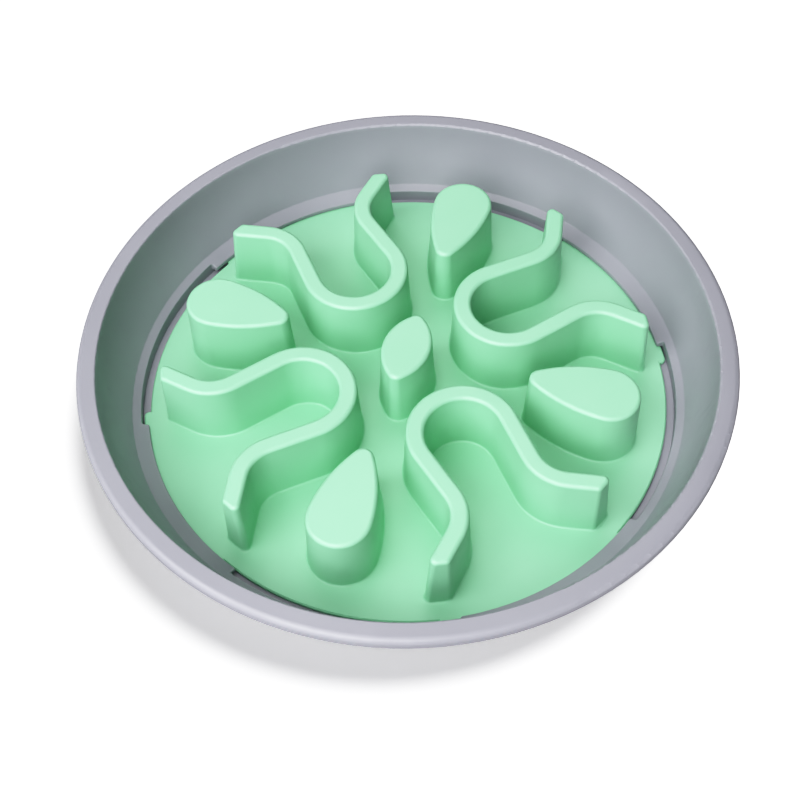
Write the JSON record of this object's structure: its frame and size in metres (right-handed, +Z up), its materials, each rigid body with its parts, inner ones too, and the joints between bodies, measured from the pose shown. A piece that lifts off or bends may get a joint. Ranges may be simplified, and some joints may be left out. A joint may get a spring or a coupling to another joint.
{
  "type": "slow feeder bowl",
  "caption": "Round slow feeder pet bowl with a flanged rim, a twist-lock maze insert of serpentine walls, teardrop posts and a leaf-shaped centre post, and rubber feet.",
  "frame": {"origin": "on the bowl's axis, on the surface that its feet stand on", "axes": "+Z up along the bowl's axis, +Y through the middle of one serpentine wall, +X through the next one"},
  "size_m": [0.28, 0.28, 0.0473],
  "materials": {
    "grey_plastic": "satin",
    "mint_plastic": "satin",
    "foot_rubber": "matte"
  },
  "bodies": {
    "bowl": {"bowl": "grey_plastic", "foot_1": "foot_rubber", "foot_2": "foot_rubber", "foot_3": "foot_rubber", "foot_4": "foot_rubber"},
    "insert": {"maze_insert": "mint_plastic"}
  },
  "joints": [
    {"name": "insert_twist", "type": "hinge", "parent": "bowl", "child": "insert", "pos_m": [0, 0, 0.0093], "axis": [0, 0, 1], "range_deg": [0, 49]}
  ]
}
